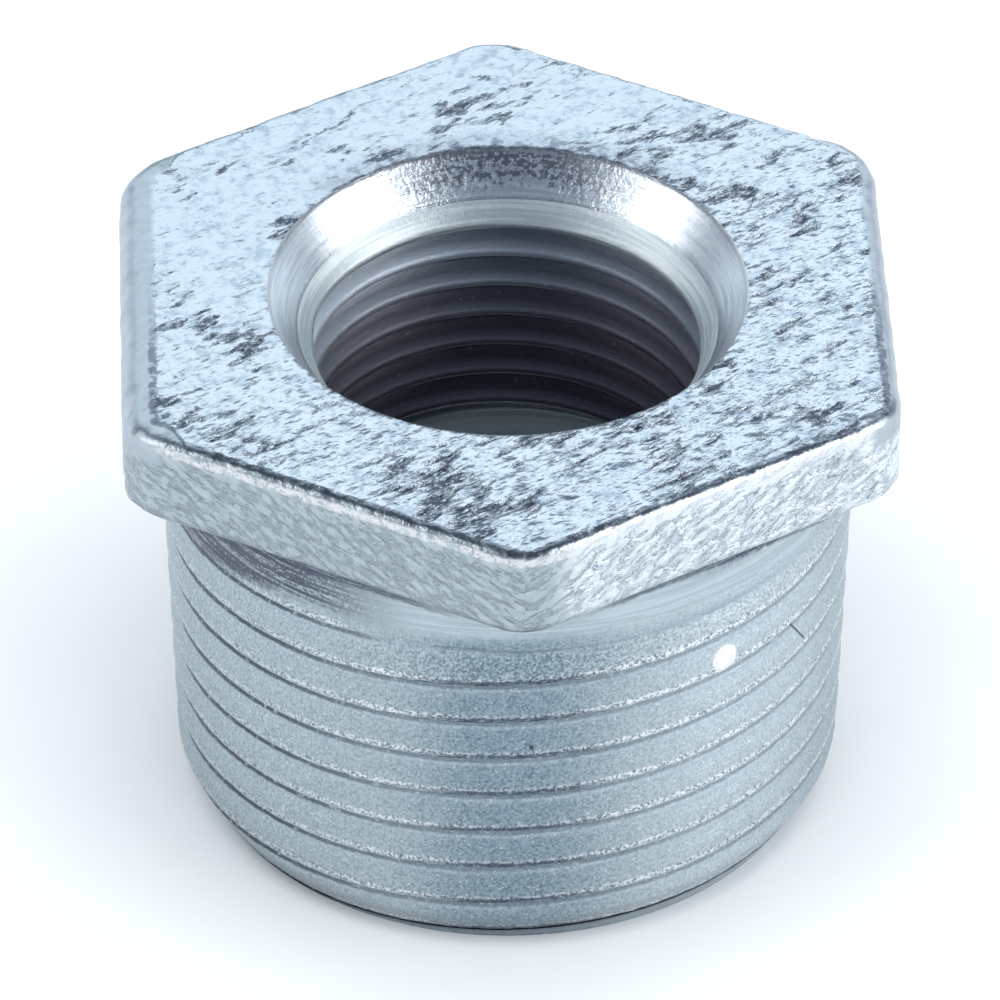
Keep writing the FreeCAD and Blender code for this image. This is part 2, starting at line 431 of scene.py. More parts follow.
hole_turns = 9
hole_rows = hole_turns * COUNTS["Rows a Hole Turn"] + 1
shoulder_end = size["Hole End"] - size["Hole Depth"] * 1.03
grid, row, turn = flat_grid(hole_rows)
angle = turn * math.tau
fall = row / size["Rows a Hole Turn"] - turn
height = (top - size["Mouth Depth"] - fall * size["Hole Pitch"]).at_most(top - size["Mouth Depth"])
height = height.at_least(shoulder_end)
lift = height - size["Hole Groove Height"] - size["Hole Pitch"] * turn
distance = lift.math("PINGPONG", size["Hole Pitch"] / 2)
lead_in = 1 - height.between(24.3, 24.9)
half_width = size["Hole Pitch"] * 0.42
groove = size["Hole Radius"] + groove_share(distance, half_width) * size["Hole Depth"] * lead_in
cone = size["Mouth Radius"] - (top - height) * size["Mouth Slope"]
shoulder = size["Hole Radius"] + size["Hole End"] - height
bands.append(bend(grid, angle, groove.at_least(cone).at_least(shoulder), height))
print("tapped hole:", hole_rows, "rows")

# %% Recess and end face
grid, row, turn = flat_grid(BAND_ROWS["recess"])
share = row / (BAND_ROWS["recess"] - 1)
start_radius = size["Hole Radius"] + size["Hole End"] - shoulder_end
radius = start_radius + (size["Recess Radius"] - start_radius) * share
bands.append(bend(grid, turn * math.tau, radius, shoulder_end - (radius - start_radius)))

wall_rows = 9
grid, row, turn = flat_grid(wall_rows)
share = row / (wall_rows - 1)
wall_top = shoulder_end - (size["Recess Radius"] - start_radius)
bands.append(bend(grid, turn * math.tau, size["Recess Radius"], wall_top * (1 - share)))

grid, row, turn = flat_grid(BAND_ROWS["recess"])
share = row / (BAND_ROWS["recess"] - 1)
angle = turn * math.tau
end_radius = male_radius(angle, shape.number(0.0))
radius = size["Recess Radius"] + (end_radius - size["Recess Radius"]) * share
bands.append(bend(grid, angle, radius, 0.0))
print("bands in all:", len(bands))

# %% [markdown]
# ## Pits that lie one way
# The top face was cast against sand that had been struck off in one direction, so its pits are
# short strokes that lie one way. Stretching the coordinates before the noise gives them that
# direction. The mesh and the material need the pits at the same places, so one function adds the
# same nodes to either kind of tree.

# %% Pits of the cast face
SAND_ANGLE = math.radians(36)


def lie_coordinates(nodes, place, along_scale, aside_scale):
    """Coordinates along and across the direction in which the sand was struck off."""
    across, back, height = nodes.split(place)
    along = across * math.cos(SAND_ANGLE) + back * math.sin(SAND_ANGLE)
    aside = back * math.cos(SAND_ANGLE) - across * math.sin(SAND_ANGLE)
    return nodes.combine(along * along_scale, aside * aside_scale, height * 0.3)


def pitting(nodes, place):
    """1 in the short pits of the cast face, and 0 between them."""
    strokes = nodes.noise(lie_coordinates(nodes, place, 0.62, 1.7), 1.0, 4.0, 0.60)
    patches = nodes.noise(place, 0.22, 1.0, 0.5)
    across, back, height = nodes.split(place)
    toward_front = (back * -0.7 + across * 0.5).between(-9.0, 12.0)
    return (strokes + (patches - 0.5) * 0.60 + toward_front * 0.05).between(0.59, 0.73)


print("pits ready")

# %% [markdown]
# ## Join and roughen
# The bands are joined and merged into one closed skin, still in millimetres. Zinc and the sand
# mould leave the real surface uneven, and that shows in its outline, so noise moves the points
# along their normals. The drop of zinc on the thread is raised in the same way. Finer grain than
# the columns can carry is left to the material.

# %% Join the bands
MERGE_DISTANCE = 0.002
join = shape_tree.nodes.new("GeometryNodeJoinGeometry")
for band in reversed(bands):
    shape_tree.links.new(band.socket, join.inputs[0])
joined = Value(shape, join.outputs[0])
skin = shape.add("GeometryNodeMergeByDistance", None, {"Geometry": joined, "Distance": MERGE_DISTANCE})
skin = shape.add("GeometryNodeFlipFaces", None, {"Mesh": skin})
print("joined", len(bands), "bands")

# %% Roughen the skin
DROP_PLACE = (9.90, -13.56, 15.75)
DROP_HEIGHT = 0.18
point = shape.add("GeometryNodeInputPosition")
x, y, z = shape.split(point)
radius = (x * x + y * y).math("SQRT")
seeded = shape.vector("ADD", point, shape.combine(size["Seed"] * 17.0, size["Seed"] * 5.0, 0.0))
cast = shape.noise(lie_coordinates(shape, seeded, 0.55, 1.1), 1.0, 3.0, 0.55) - 0.5
ragged = shape.noise(seeded, 2.0, 2.0, 0.6) - 0.5
on_head = z.between(22.8, 23.4) * radius.between(11.5, 12.2)
on_flat_top = z.between(27.9, 27.99) * on_head
on_thread = (1 - on_head) * radius.between(14.0, 14.6) * (1 - z.between(20.5, 22.0))
drop = 1 - shape.length(shape.vector("SUBTRACT", point, DROP_PLACE)).between(0.1, 0.8)
amount = (
    drop * DROP_HEIGHT
    + cast * size["Skin"] * (on_head * 2.4 + 0.3)
    + ragged * size["Crest Wear"] * (on_thread + on_head * 0.15)
    - pitting(shape, point) * size["Pit Depth"] * on_flat_top
)
above_foot = z.between(0.0, 0.3)
offset = shape.scale(shape.scale(shape.add("GeometryNodeInputNormal"), amount), above_foot)
skin = shape.add("GeometryNodeSetPosition", None, {"Geometry": skin, "Offset": offset})
print("skin roughened by up to", SIZES["Crest Wear"], "mm on the thread")

# %% [markdown]
# ## Sharp lips, metres and finishes
# The skin is shaded smooth, but the lips of the thread are real edges. Shaded smooth, their dark
# inner side would spread over the turn below. So every edge of the screw that bends by more than
# 30 degrees stays sharp. The skin is also brought from millimetres to metres here, and each place
# gets its own finish by its height and its distance from the axis.

# %% Close the tree
MOUTH_EDGE = 0.01162
MOUTH_FOOT = 0.02593
BORE_EDGE = 0.0123
HEAD_FOOT = 0.02287
skin = shape.add("GeometryNodeTransform", None, {"Geometry": skin, "Scale": (0.001, 0.001, 0.001)})
skin = shape.add("GeometryNodeSetShadeSmooth", None, {"Geometry": skin, "Shade Smooth": True})
x, y, z = shape.split(shape.add("GeometryNodeInputPosition"))
far = (x * x + y * y).math("SQRT")
places = {
    "Head Finish": True,
    "Mouth Finish": far.math("LESS_THAN", MOUTH_EDGE) * z.math("GREATER_THAN", MOUTH_FOOT),
    "Bore Finish": far.math("LESS_THAN", BORE_EDGE) * z.math("LESS_THAN", MOUTH_FOOT),
    "Screw Finish": far.math("GREATER_THAN", BORE_EDGE) * z.math("LESS_THAN", HEAD_FOOT),
}
bent = shape.add("GeometryNodeInputMeshEdgeAngle").math("GREATER_THAN", math.radians(30))
skin = shape.add(
    "GeometryNodeSetShadeSmooth",
    {"domain": "EDGE"},
    {"Geometry": skin, "Selection": bent * places["Screw Finish"], "Shade Smooth": False},
)
skin = shape.add("GeometryNodeRealizeInstances", None, {"Geometry": skin})
for finish, place in places.items():
    sockets = {"Geometry": skin, "Selection": place, "Material": size[finish]}
    skin = shape.add("GeometryNodeSetMaterial", None, sockets)
group_output = shape_tree.nodes.new("NodeGroupOutput")
shape_tree.links.new(skin.socket, group_output.inputs[0])
print("tree nodes:", len(shape_tree.nodes))

# %% [markdown]
# ## Zinc finishes
# Hot zinc freezes into a pale, slightly blue metal, and its skin differs from place to place: a
# pitted cast face and crinkled sides on the head, turning marks in the mouth, and fine lines and
# grit on the threads. One material could find all places by itself, but then each ray works out
# every pattern. So each kind of skin is a material of its own, and the tree gives it to its bands.
# The patterns read the object's own coordinates, and heights are in millimetres.


# %% Start and close a finish
class Finish:
    """A material that knows where its points are on the bushing."""

    def __init__(self, name):
        self.material = bpy.data.materials.new(name)
        self.material.use_nodes = True
        self.material.node_tree.nodes.clear()
        self.nodes = Nodes(self.material.node_tree)
        self.spot = self.nodes.scale(self.nodes.add("ShaderNodeTexCoord", None, None, 3), 1000.0)
        self.x, self.y, self.z = self.nodes.split(self.spot)
        self.radius = (self.x * self.x + self.y * self.y).math("SQRT")
        self.turn = self.x.math("ARCTAN2", self.y * -1) / math.tau
        self.grain = self.nodes.noise(self.spot, 7.0, 2.0, 0.7)

    def turn_from_front(self):
        """Degrees round the axis from the front, positive to the right."""
        return self.x.math("ARCTAN2", self.y * -1) * math.degrees(1)

    def across_turn(self, groove_height, pitch):
        """Millimetres up from the middle of the groove below."""
        quarter_turn = 0.25
        climb = (self.z - groove_height) / pitch - self.turn + quarter_turn
        return climb.math("FRACT") * pitch

    def close(self, colour, roughness, height):
        """Gives the metal its colour, roughness and relief, and returns the material."""
        relief = {"Strength": 1.0, "Distance": 0.001, "Height": height}
        bump = self.nodes.add("ShaderNodeBump", None, relief)
        surface = self.nodes.add(
            "ShaderNodeBsdfPrincipled",
            None,
            {"Base Color": colour, "Metallic": 1.0, "Roughness": roughness, "Normal": bump},
        )
        output = self.material.node_tree.nodes.new("ShaderNodeOutputMaterial")
        self.material.node_tree.links.new(surface.socket, output.inputs["Surface"])
        print(self.material.name, "has", len(self.material.node_tree.nodes), "nodes")
        return self.material


print("finish helper ready")

# %% [markdown]
# ## Cast skin of the head
# The top has dark pits on a pale ground with fine grain, and is rougher towards the front right.
# The pits are painted dark as shade, and the top is painted a little darker towards the back left
# as shade. The sides are crinkled like foil, along slanted lines, with fine creases painted dark as
# shade. Their colour is painted lighter on the ridges and on the right, as if lit, and darker on
# the left, as if in shade, besides a real difference in the zinc. The lower edge of the sides is
# painted dark as shade. The rounded edge between top and sides carries a painted highlight, ragged
# like wear, with a painted dark line inside it, a reflection of the dark surroundings. First the
# places are found, then the relief is made, and then the colour.

# %% Head: find its places
head = Finish("cast_zinc")
mix = head.nodes.mix_colour
flats = [math.radians(a) for a in (0, 60, 120)]
reaches = [(head.x * math.cos(a) + head.y * math.sin(a)).math("ABSOLUTE") for a in flats]
inset = SIZES["Across Flats"] / 2 - reaches[0].at_least(reaches[1]).at_least(reaches[2])
wear = head.nodes.noise(head.spot, 2.2, 3.0, 0.6)
left_band = (head.x * -1).between(15.5, 16.5)
right_band = head.x.between(15.5, 16.5)
band = head.x.math("ABSOLUTE").between(16.6, 17.2) * head.z.between(26.2, 26.8)
ragged_inset = inset + (wear - 0.5) * 0.5 - left_band * 0.9 - right_band * 0.4
on_top = ragged_inset.between(0.22, 0.58) * head.z.between(27.4, 27.7)
edge = (head.z + (wear - 0.5) * 0.3).inside(27.25, 27.72, 0.10)
on_right = (head.x + head.y * 0.04).between(0.2, 2.2)
rough_side = (head.y * -0.7 + head.x * 0.5).between(-12.0, 8.0)
print("head places found with", len(head.material.node_tree.nodes), "nodes")


# %% Head: relief
def mix_heights(factor, first, second):
    """The first height, and the second one where the factor is 1."""
    return first + (second - first) * factor


pits = pitting(head.nodes, head.spot)
sand = head.nodes.noise(head.spot, 1.7, 3.0, 0.55)
lumps = head.nodes.noise(head.spot, 0.60, 2.0, 0.5)
ripples = head.nodes.noise(lie_coordinates(head.nodes, head.spot, 0.45, 0.95), 1.0, 3.0, 0.5)
fine = head.nodes.noise(lie_coordinates(head.nodes, head.spot, 3.0, 6.0), 1.0, 2.0, 0.6)
top_height = pits * -0.09 + (sand - 0.5) * 0.06 + (ripples - 0.5) * 0.36 + (lumps - 0.5) * 0.40
top_height = top_height * (0.50 + rough_side * 0.50) + (fine - 0.5) * rough_side * 0.03

along = (head.turn * 114.0).math("ABSOLUTE")
across = head.z - along * 0.42
wide = 1 - head.turn.math("GREATER_THAN", 0.0) * 0.22
each_side = head.turn.math("SIGN") * 9.0
crinkle_place = head.nodes.combine(along * wide * 1.5, across * wide * 2.7, each_side)
crinkles = head.nodes.noise(crinkle_place, 1.0, 4.0, 0.6, 0.7)
rounding = head.z.between(26.7, 27.3)
side_height = (crinkles - 0.5) * (0.14 + on_right * 0.13)
side_height = mix_heights(rounding, side_height, (wear - 0.5) * 0.06) * (1 - band * 0.7)
head_height = mix_heights(on_top, side_height, top_height) + head.grain * 0.008
print("head relief ready")

# %% Head: colour
# Colours of painted shade in the folds and pits, and of a painted highlight on the rounded edge.
CREASE_SHADE_COLOUR = (0.12, 0.16, 0.21)
WORN_EDGE_HIGHLIGHT = (0.84, 0.815, 0.83)
PIT_SHADE_COLOUR = (0.04, 0.055, 0.09)
# Painted shade: fine dark lines are painted in the folds of the crinkles.
crease_shade = 1 - ((crinkles - 0.46).math("ABSOLUTE")).between(0.0, 0.028)
crease_shade = crease_shade * wear.between(0.38, 0.52)
# The sides' colour follows the crinkles' height: painted lighter on the ridges and darker in the hollows,
# as painted relief shade. The right flats are painted brighter, as if lit, and the left ones darker, as
# if in shade, besides a real difference in the zinc.
shaded_side = mix(crinkles.between(0.30, 0.65), (0.31, 0.37, 0.40), (0.46, 0.535, 0.565))
lit_side = mix(crinkles.between(0.30, 0.56), (0.47, 0.55, 0.605), (0.72, 0.785, 0.82))
side_colour = mix(on_right, shaded_side, lit_side)
side_colour = mix(crease_shade * (0.70 + on_right * 0.15), side_colour, CREASE_SHADE_COLOUR)
# Painted shade: the lower edge of the sides, which faces down, is painted dark.
low_edge_shade = (1 - (head.z + (wear - 0.5) * 0.8).between(22.95, 23.75)) * (1 - on_right * 0.5)
side_colour = mix(low_edge_shade * 0.7, side_colour, (0.12, 0.15, 0.20))
# Painted highlight: the rounded upper edge is painted near white, broken into patches by wear noise, and
# weaker on the right.
worn_highlight = (wear * 0.6 + head.grain * 0.4).between(0.42, 0.54)
side_colour = mix(edge * worn_highlight * (0.75 - on_right * 0.25), side_colour, WORN_EDGE_HIGHLIGHT)
band_colour = mix(right_band, (0.43, 0.49, 0.54), (0.37, 0.42, 0.465))
side_colour = mix(band * 0.8, side_colour, band_colour)

top_colour = mix(sand.between(0.28, 0.54), (0.40, 0.485, 0.565), (0.645, 0.72, 0.78))
# Painted shade: the top is painted darker towards the back left.
top_colour = mix((1 - rough_side) * 0.22, top_colour, (0.36, 0.43, 0.49))
# Painted shade: the pits are painted nearly black, broken by fine noise.
top_colour = mix(pits * fine.between(0.30, 0.52) * 0.95, top_colour, PIT_SHADE_COLOUR)
behind_mouth = 1 - (head.radius + (wear - 0.5) * 2.0).between(11.9, 13.4)
behind_mouth = behind_mouth * head.y.between(7.0, 10.5)
top_colour = mix(behind_mouth * sand.between(0.38, 0.60) * 0.75, top_colour, (0.13, 0.16, 0.22))
# Painted reflection: a dark line is painted just inside the rounded edge, where the turning surface
# mirrors the dark surroundings.
painted_dark_line = ragged_inset.inside(0.14, 0.52, 0.07) * (1 - head.y.between(-6.0, 2.0))
painted_dark_line = painted_dark_line * head.z.between(27.70, 27.85) * wear.between(0.30, 0.52)
head_colour = mix(on_top, side_colour, top_colour)
head_colour = mix(painted_dark_line * 0.75, head_colour, (0.09, 0.105, 0.15))
head_roughness = 0.29 + (head.grain - 0.5) * 0.25 + (1 - on_top) * 0.05
head_finish = head.close(head_colour, head_roughness, head_height)

# %% [markdown]
# ## Turned mouth
# A tool cut the cone while the bushing turned, and left fine rings. Noise on the height alone
# gives rings, and a little of X and Y keeps them from being perfect. At the back a dark, blotchy
# patch is painted as a reflection of the dark surroundings, and the rim and the inner edge are
# darker.

# %% Mouth finish
mouth = Finish("turned_zinc")
mix = mouth.nodes.mix_colour
ring_place = mouth.nodes.combine(mouth.x * 0.25, mouth.y * 0.25, mouth.z * 7.0)
rings = mouth.nodes.noise(ring_place, 1.0, 3.0, 0.7)
specks = mouth.nodes.noise(mouth.spot, 4.0, 2.0, 0.6)
at_back = mouth.y.between(6.5, 10.5)
mouth_height = rings * (0.025 + at_back * 0.03) + specks * (0.01 + at_back * 0.035)
mouth_height = mouth_height + mouth.grain * 0.006
mouth_colour = mix(rings.between(0.36, 0.60), (0.66, 0.74, 0.82), (0.88, 0.93, 0.96))
# Painted reflection: a dark, blotchy patch is painted at the back of the cone, where the dark
# surroundings are mirrored.
mottled_reflection = mouth.x.inside(-4.5, 4.5, 2.5) * mouth.y.between(5.0, 7.0)
mottled_reflection = mottled_reflection * (mouth.z + (specks - 0.5) * 1.5).between(26.4, 27.0)
streaky = specks * 0.5 + rings * 0.5
mouth_colour = mix(mottled_reflection * streaky.between(0.45, 0.54) * 0.78, mouth_colour, (0.07, 0.08, 0.14))
rim = mouth.z.between(27.65, 27.95)
mouth_colour = mix(rim * 0.55, mouth_colour, (0.36, 0.35, 0.36))
inner_edge = 1 - (mouth.z + (specks - 0.5) * 0.3).between(25.95, 26.15)
mouth_colour = mix(inner_edge * 0.5, mouth_colour, (0.30, 0.34, 0.38))
mouth_finish = mouth.close(mouth_colour, 0.33 + (mouth.grain - 0.5) * 0.2, mouth_height)

# %% [markdown]
# ## Male thread
# Each turn is gritty on its crest and smoother, with tool lines, under the lip of the turn above,
# where a slate blue is painted as a reflection of the darker room above. Its own lip is ragged, with
# dark specks and painted glints, and in front the lip itself is painted dark as shade. Below it runs
# a thin painted dark line of shade with gaps, and under that a painted light line. The distance
# along the axis from the middle of the groove repeats once in each turn, so it tells these places
# apart. The angle from the front tells where the same zinc is painted darker, middling or silvery,
# as a painted reflection of darker or brighter surroundings.

# %% Screw: places on a turn and round the axis
screw = Finish("threaded_zinc")
mix = screw.nodes.mix_colour
pitch = SIZES["Male Pitch"]
lean = math.radians(SIZES["Male Tilt Angle"])
tilt = (screw.x * math.cos(lean) - screw.y * math.sin(lean)) / screw.radius * SIZES["Male Tilt"]
rise = screw.across_turn(tilt + SIZES["Male Groove Height"], pitch)
side = screw.turn_from_front()
front_half = 1 - side.math("ABSOLUTE").between(95.0, 140.0)
at_front = side.inside(-14.0, 12.0, 8.0)
# Masks where the zinc is painted darker in front and brighter on the right, as painted reflection.
front_dark_reflection = side.inside(-15.0, 11.0, 9.0)
right_bright_reflection = side.inside(24.0, 62.0, 12.0)
to_left = (1 - side.between(-50.0, -12.0)) * front_half
past_left = side.between(-38.0, -18.0) * front_half
print("screw places found with", len(screw.material.node_tree.nodes), "nodes")

# %% Screw: relief
ragged = screw.nodes.noise(screw.spot, 2.6, 3.0, 0.65)
grit = screw.nodes.noise(screw.spot, 6.5, 2.0, 0.7)
line_place = screw.nodes.combine(screw.x * 0.15, screw.y * 0.15, screw.z * 6.0)
lines = screw.nodes.noise(line_place, 1.0, 3.0, 0.6)
on_crest = 1 - rise.between(1.0, 1.6)
screw_height = lines * 0.015 + grit * (0.015 + on_crest * 0.035) + ragged * 0.03
print("screw relief ready")

# %% Screw: lips and the dark lines below them
lip = SIZES["Male Groove Width"] / 2
threaded = 1 - (screw.z + past_left * 1.3).between(19.4, 20.0)
above_lip = rise + (ragged - 0.5) * 0.34
below_lip = pitch - rise + (ragged - 0.5) * 0.24
facing = (screw.y.math("ABSOLUTE") / screw.radius).at_least(0.40)
line_width = facing ** -1.0 * 0.17 + 0.15
# Painted shade: a thin dark line is painted just below each lip, wider where the turn is seen from the
# side and darker on the left. In front, a dark band is painted on the lip itself.
painted_dark_line = below_lip.inside(0.04, line_width, 0.06) * (0.40 + to_left * 0.48)
lip_shade = above_lip.inside(lip + 0.02, lip + 0.20, 0.05) * at_front * 0.80
lip_shade = painted_dark_line.at_least(lip_shade) * threaded * ragged.between(0.28, 0.46)
# Painted highlight: a light ragged line is painted a little below the dark line, standing for a small
# step that catches the light.
step = below_lip.inside(0.40, 0.52, 0.05) * ragged.between(0.40, 0.55)
step = step * (1 - to_left) * threaded * 0.3
# Painted highlight: near-white glints are painted on the ragged lip, fewer in front and on the left,
# beside real dark specks of grit.
speckled_lip = above_lip.inside(lip + 0.08, lip + 0.36, 0.07) * threaded
dark_specks = speckled_lip * (1 - grit.between(0.36, 0.46)) * 0.55
glint_specks = speckled_lip * grit.between(0.46, 0.56) * (0.75 - front_dark_reflection * 0.48 - to_left * 0.45)
print("lips ready, half a groove is", lip, "mm")

# %% Screw: colour of the turns
# Painted reflection: the same zinc gets three tones round the axis, darkest in front, where dark
# surroundings are mirrored, and brightest on the right. The grit within each tone is real.
grain_share = grit.between(0.30, 0.66)
front_shade_tone = mix(grain_share, (0.145, 0.205, 0.25), (0.31, 0.395, 0.45))
side_sheen_tone = mix(grain_share, (0.27, 0.34, 0.375), (0.44, 0.515, 0.55))
right_sheen_tone = mix(grain_share, (0.36, 0.43, 0.47), (0.52, 0.59, 0.635))
screw_colour = mix(right_bright_reflection, side_sheen_tone, right_sheen_tone)
screw_colour = mix(front_dark_reflection, screw_colour, front_shade_tone)
# Under the lip of the turn above, the colour turns slate blue with tool lines: the lines are real, the
# slate is a painted reflection of the darker room above.
smooth = mix(lines.between(0.35, 0.65), (0.24, 0.31, 0.37), (0.42, 0.50, 0.56))
screw_colour = mix(rise.between(pitch - 0.9, pitch - 0.2) * 0.35, screw_colour, smooth)
peppered = screw.z.inside(17.2, 18.9, 0.3) * past_left * 0.25
screw_colour = mix(peppered * grit.between(0.52, 0.62), screw_colour, (0.75, 0.80, 0.84))
screw_colour = mix(peppered * (1 - grit.between(0.34, 0.46)), screw_colour, (0.10, 0.13, 0.17))
# Painted highlight: scattered near-white glints on the grain.
screw_colour = mix(screw.grain.between(0.63, 0.70) * 0.6, screw_colour, (0.90, 0.93, 0.95))
screw_colour = mix(dark_specks, screw_colour, (0.08, 0.10, 0.13))
screw_colour = mix(glint_specks, screw_colour, (0.95, 0.93, 0.94))
# The painted highlight of the small step.
screw_colour = mix(step, screw_colour, (0.62, 0.68, 0.72))
# The painted shade of the lips, in near black.
screw_colour = mix(lip_shade, screw_colour, (0.045, 0.055, 0.08))
print("screw colours mixed")

# %% Screw: zinc drop, nick and pit
drop_far = screw.nodes.length(screw.nodes.vector("SUBTRACT", screw.spot, DROP_PLACE))
drop_mottle = (ragged * 0.5 + grit * 0.5).between(0.34, 0.50)
drop_colour = mix(drop_mottle, (0.60, 0.65, 0.69), (0.95, 0.96, 0.97))
on_drop = 1 - (drop_far + (ragged - 0.5) * 0.5).between(0.58, 0.80)
screw_colour = mix(on_drop, screw_colour, drop_colour)
nick = side - 54.6 + (screw.z - 14.3) * 2.44
nick = (1 - nick.math("ABSOLUTE").between(0.15, 0.35)) * screw.z.inside(13.4, 15.2, 0.1)
pit = 1 - (side - 1.7).math("ABSOLUTE").between(0.25, 0.45)
pit = pit * (1 - (screw.z - 13.1).math("ABSOLUTE").between(0.08, 0.16))
screw_colour = mix(nick.at_least(pit) * 0.85, screw_colour, (0.05, 0.055, 0.07))
print("drop at", DROP_PLACE, "mm")

# %% [markdown]
# ## Neck below the head
# Above the last turn the neck is plain. It is dark and streaky where the head keeps the light off
# it at the left, and a thin shade follows the head's lower edge. That edge is a hexagon seen from
# the round neck, so the shade's height is a cosine of the angle within each flat.

# %% Screw: neck and the shade of the head
plain_neck = mix(lines.between(0.3, 0.7), (0.38, 0.46, 0.50), (0.52, 0.60, 0.64))
screw_colour = mix((screw.z + (ragged - 0.5) * 0.5).between(19.3, 20.4), screw_colour, plain_neck)
streaks = lines * 0.65 + grit * 0.35
far_left = 1 - side.between(-62.0, -34.0)
left_shade = (screw.z + (ragged - 0.5) * 1.2 + far_left * 1.3).between(19.5, 20.3)
left_shade = left_shade * (1 - side.between(-38.0, -14.0))
right_shade = (screw.z + (ragged - 0.5) * 0.8).between(21.2, 21.9) * side.between(25.0, 40.0)
under_head = left_shade.at_least(right_shade) * front_half * streaks.between(0.38, 0.52) * 0.9
screw_colour = mix(under_head, screw_colour, (0.045, 0.055, 0.085))
from_flat = side.math("ABSOLUTE") * math.radians(1) - math.radians(30)
head_edge = from_flat.math("COSINE") * 15.2 + 6.93
edge_shade = (screw.z + (ragged - 0.5) * 0.4 - head_edge).between(-0.34, -0.12)
edge_shade = edge_shade * side.math("ABSOLUTE").inside(13.0, 66.0, 7.0)
edge_shade = edge_shade * (0.45 + streaks.between(0.36, 0.52) * 0.35)
screw_colour = mix(edge_shade, screw_colour, (0.06, 0.075, 0.11))
screw_finish = screw.close(screw_colour, 0.38 + (screw.grain - 0.5) * 0.2, screw_height)

# %% [markdown]
# ## Tapped hole
# Little light reaches the turns inside, and the zinc there is matte. That shade is painted into
# the colour: each turn is painted nearly black at its root and lighter to a painted highlight along
# its crest, the right side of the bore is painted darker and the left lighter, and the turns are
# painted darker the deeper they lie. Above the first turn a pale band runs up to the mouth, and
# below the last one the cast wall is grey green.

# %% Bore finish
bore = Finish("tapped_zinc")
mix = bore.nodes.mix_colour
rise = bore.across_turn(SIZES["Hole Groove Height"], SIZES["Hole Pitch"])
line_place = bore.nodes.combine(bore.x * 0.15, bore.y * 0.15, bore.z * 6.0)
lines = bore.nodes.noise(line_place, 1.0, 3.0, 0.6)
grit = bore.nodes.noise(bore.spot, 3.0, 3.0, 0.7)
bore_height = lines * 0.012 + grit * 0.03
# Painted shade and highlight: each turn is painted nearly black at its root and lighter towards its
# crest, with a painted highlight along the crest.
crest_highlight = rise.inside(0.58, 0.78, 0.05)
toward_crest = 1 - rise.between(0.9, 1.75)
deep = 1 - bore.z.between(18.5, 25.0)
turn_colour = mix(toward_crest, (0.24, 0.27, 0.33), (0.62, 0.70, 0.79))
turn_colour = mix(crest_highlight * 0.6, turn_colour, (0.75, 0.80, 0.86))
# Painted shade on the right of the bore, and painted light on its left.
turn_colour = mix(bore.x.between(-3.0, 9.0) * 0.6, turn_colour, (0.16, 0.18, 0.22))
turn_colour = mix((1 - bore.x.between(-9.5, -2.0)) * 0.7, turn_colour, (0.84, 0.91, 0.98))
# Painted shade: the turns are painted darker the deeper they lie.
turn_colour = mix(deep * 0.80, turn_colour, (0.12, 0.10, 0.14))
lead_colour = mix(lines.between(0.4, 0.6), (0.66, 0.75, 0.78), (0.88, 0.94, 0.96))
bore_colour = mix(bore.z.between(24.15, 24.35), turn_colour, lead_colour)
bore_colour = mix((1 - bore.z.between(13.4, 13.9)) * 0.8, bore_colour, (0.30, 0.38, 0.42))
bore_colour = mix(grit.between(0.68, 0.74) * 0.6, bore_colour, (0.85, 0.88, 0.90))
bore_finish = bore.close(bore_colour, 0.56 + (bore.grain - 0.5) * 0.2, bore_height)

# %% [markdown]
# ## From modifier to mesh
# The tree runs once on an empty mesh. Its result is copied into a plain mesh, so that nothing is
# left live on the piece, and the piece takes the place of the CAD node.

# %% Make the bushing
maker = bpy.data.objects.new("bushing_maker", bpy.data.meshes.new("bushing_maker"))
bpy.context.scene.collection.objects.link(maker)
modifier = maker.modifiers.new("shape", "NODES")
modifier.node_group = shape_tree
FINISHES = {
    "Head Finish": head_finish,
    "Mouth Finish": mouth_finish,
    "Screw Finish": screw_finish,
    "Bore Finish": bore_finish,
}
for name, value in {**SIZES, **COUNTS, **FINISHES}.items():
    modifier[identifiers[name]] = value
graph = bpy.context.evaluated_depsgraph_get()
bushing_mesh = bpy.data.meshes.new_from_object(maker.evaluated_get(graph))
bpy.data.objects.remove(maker)
bushing = bpy.data.objects.new("galvanised_bushing", bushing_mesh)
bpy.context.scene.collection.objects.link(bushing)
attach(bushing, "root")
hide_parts("hex_bushing")
bushing_mesh.calc_loop_triangles()
print("bushing:", len(bushing_mesh.vertices), "points,", len(bushing_mesh.loop_triangles), "triangles")

# %% [markdown]
# ## Floor
# A plain pale floor, much larger than the view, stands for the white paper of the photo.

# %% Floor
floor_mesh = bpy.data.meshes.new("floor")
reach = 1.5
corners = [(-reach, -reach, 0), (reach, -reach, 0), (reach, reach, 0), (-reach, reach, 0)]
floor_mesh.from_pydata(corners, [], [(0, 1, 2, 3)])
floor = bpy.data.objects.new("floor", floor_mesh)
bpy.context.scene.collection.objects.link(floor)
paper = bpy.data.materials.new("paper")
paper.use_nodes = True
paper.node_tree.nodes["Principled BSDF"].inputs["Base Color"].default_value = (0.86, 0.87, 0.88, 1)
paper.node_tree.nodes["Principled BSDF"].inputs["Roughness"].default_value = 0.9
floor_mesh.materials.append(paper)
print("floor:", 2 * reach, "m wide")

# %% [markdown]
# ## Light
# Metal shows what is around it. A wide soft light behind is mirrored in the top face, one at each
# side gives the cone its two bright places, and two low ones light the flats that face left and
# right. The light above is hidden from reflections: it only brightens the floor, which the sides
# of the bushing mirror.


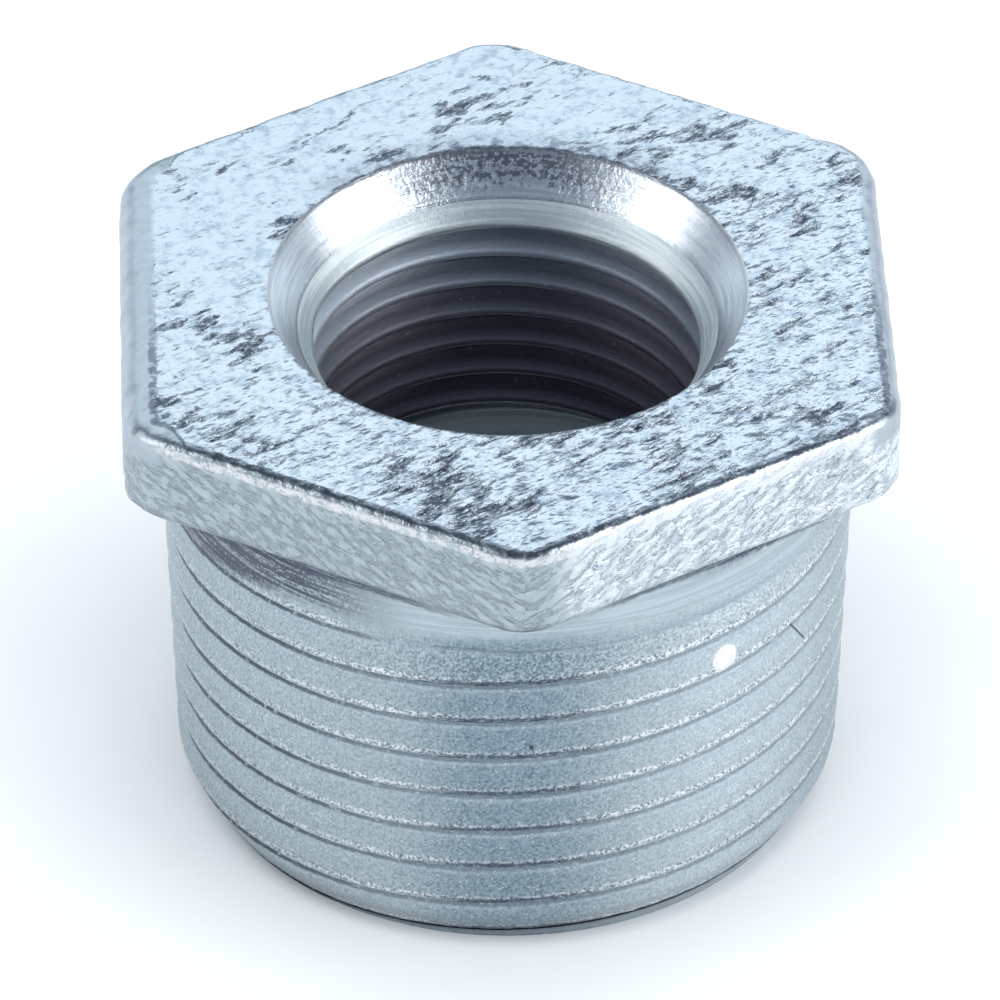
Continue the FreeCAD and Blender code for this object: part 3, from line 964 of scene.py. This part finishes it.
# %% Lights
def soft_light(name, azimuth, elevation, distance, width, depth, brightness, colour):
    """An area light that faces the bushing, as bright as a white surface times brightness."""
    light = bpy.data.lights.new(name, "AREA")
    light.shape = "RECTANGLE"
    light.size = width
    light.size_y = depth
    light.energy = brightness * math.pi * width * depth
    light.color = colour
    item = bpy.data.objects.new(name, light)
    a, e = math.radians(azimuth), math.radians(elevation)
    way = Vector((math.cos(a) * math.cos(e), math.sin(a) * math.cos(e), math.sin(e)))
    item.location = way * distance + Vector((0, 0, 0.014))
    item.rotation_mode = "QUATERNION"
    item.rotation_quaternion = way.to_track_quat("Z", "Y")
    bpy.context.scene.collection.objects.link(item)
    return item


soft_light("back_light", 88, 38, 0.6, 1.0, 0.48, 1.18, (0.88, 0.95, 1.0))
soft_light("left_light", 193, 22, 0.6, 0.42, 0.36, 2.4, (1.0, 0.995, 0.98))
soft_light("right_light", -20, 19, 0.6, 0.5, 0.40, 3.4, (1.0, 0.995, 0.98))
soft_light("left_band_light", 127, 3, 0.6, 0.34, 0.30, 0.75, (0.86, 0.93, 1.0))
soft_light("right_band_light", 53, 3, 0.6, 0.34, 0.30, 0.75, (0.86, 0.93, 1.0))
paper_light = soft_light("paper_light", -90, 75, 1.2, 1.2, 1.2, 3.0, (1.0, 1.0, 1.0))
paper_light.visible_glossy = False
world = bpy.data.worlds.new("room")
world.use_nodes = True
world.node_tree.nodes["Background"].inputs["Color"].default_value = (0.21, 0.25, 0.31, 1)
world.node_tree.nodes["Background"].inputs["Strength"].default_value = 1.0
bpy.context.scene.world = world
bpy.context.scene.view_settings.view_transform = "Standard"

# %% [markdown]
# ## Camera
# The photo was taken with a long lens from above the front corner. The angle, distance and lens
# were found by fitting the outline of the head, the rim of the bore and the turns of the thread.

# %% Camera
CAMERA_ELEVATION = math.radians(37.96)
CAMERA_DISTANCE = 0.4764
CAMERA_TURN = math.radians(-2.3)
CAMERA_ROLL = math.radians(0.11)
CAMERA_TARGET = (0.00008, 0.00002, 0.014)
LENS_PIXELS = 9720.9
IMAGE_PIXELS = 1000
IMAGE_CENTRE = (509.04, 517.67)
camera_data = bpy.data.cameras.new("camera")
camera_data.sensor_width = 36.0
camera_data.lens = 36.0 * LENS_PIXELS / IMAGE_PIXELS
camera_data.shift_x = (IMAGE_PIXELS / 2 - IMAGE_CENTRE[0]) / IMAGE_PIXELS
camera_data.shift_y = (IMAGE_CENTRE[1] - IMAGE_PIXELS / 2) / IMAGE_PIXELS
camera_data.clip_start = 0.05
camera_data.clip_end = 20.0
camera = bpy.data.objects.new("camera", camera_data)
azimuth = -math.pi / 2 + CAMERA_TURN
level = math.cos(CAMERA_ELEVATION)
back = Vector((math.cos(azimuth) * level, math.sin(azimuth) * level, math.sin(CAMERA_ELEVATION)))
camera.location = back * CAMERA_DISTANCE + Vector(CAMERA_TARGET)
camera.rotation_mode = "QUATERNION"
camera.rotation_quaternion = back.to_track_quat("Z", "Y") @ Quaternion((0, 0, 1), CAMERA_ROLL)
bpy.context.scene.collection.objects.link(camera)
bpy.context.scene.camera = camera
print("lens:", round(camera_data.lens, 1), "mm")
